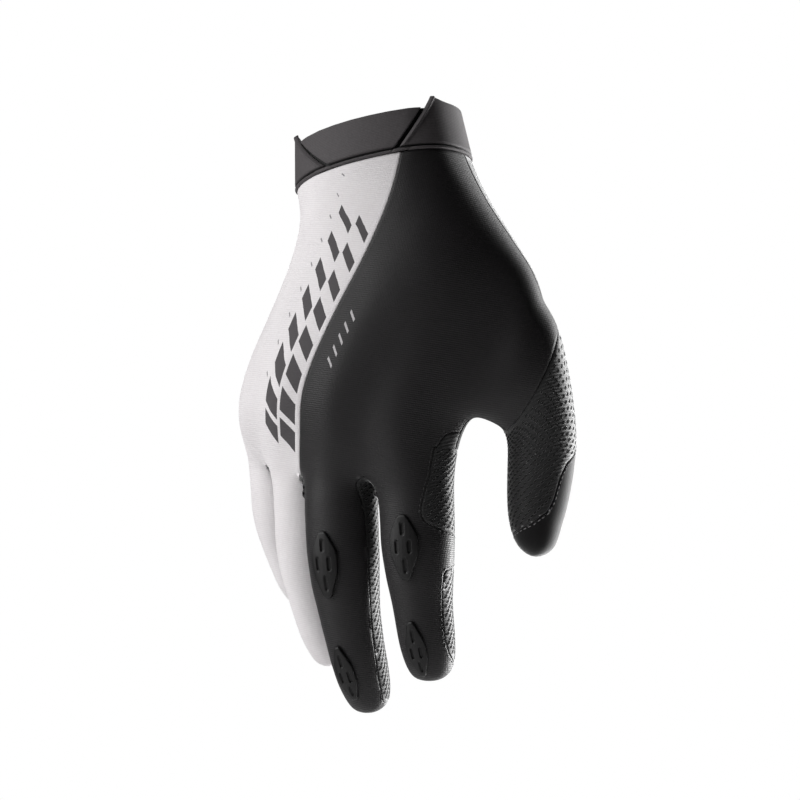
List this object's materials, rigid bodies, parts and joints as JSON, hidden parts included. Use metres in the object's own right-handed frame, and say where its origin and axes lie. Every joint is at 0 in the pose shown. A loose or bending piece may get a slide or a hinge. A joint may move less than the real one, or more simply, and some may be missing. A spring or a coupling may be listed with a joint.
{
  "type": "motocross glove",
  "caption": "Right-hand motocross glove in its worn shape, with a slip-on cuff joined on two slants, perforated thumb and finger sides, and slotted pads over knuckles and fingertips.",
  "frame": {"origin": "centre of the opening of the cuff, level with its rim, where the wrist goes in", "axes": "+Z out of the cuff and up the forearm, -Y out of the back of the hand, +X towards the thumb"},
  "size_m": [0.1398, 0.0736, 0.2035],
  "materials": {
    "cuff_knit": "soft dark grey neoprene with a fine knit face",
    "white_knit": "matt white stretch knit with fine cross ribs and a dark grey print",
    "black_knit": "black stretch knit with fine cross ribs and a soft sheen",
    "mesh": "black perforated stretch mesh",
    "suede": "black brushed synthetic suede",
    "pad_rubber": "satin black moulded rubber"
  },
  "bodies": {
    "root": {"cuff_wrap": "cuff_knit", "cuff_back": "cuff_knit", "back_white": "white_knit", "back_black": "black_knit", "palm": "suede", "fourchette_little_ring": "mesh", "fourchette_ring_middle": "mesh", "fourchette_middle_index": "mesh", "index_side": "mesh", "thumb_shell": "mesh", "thumb_palm": "suede", "knuckle_pad_index": "pad_rubber", "knuckle_pad_middle": "pad_rubber", "fingertip_pad_index": "pad_rubber", "fingertip_pad_middle": "pad_rubber"}
  },
  "joints": []
}
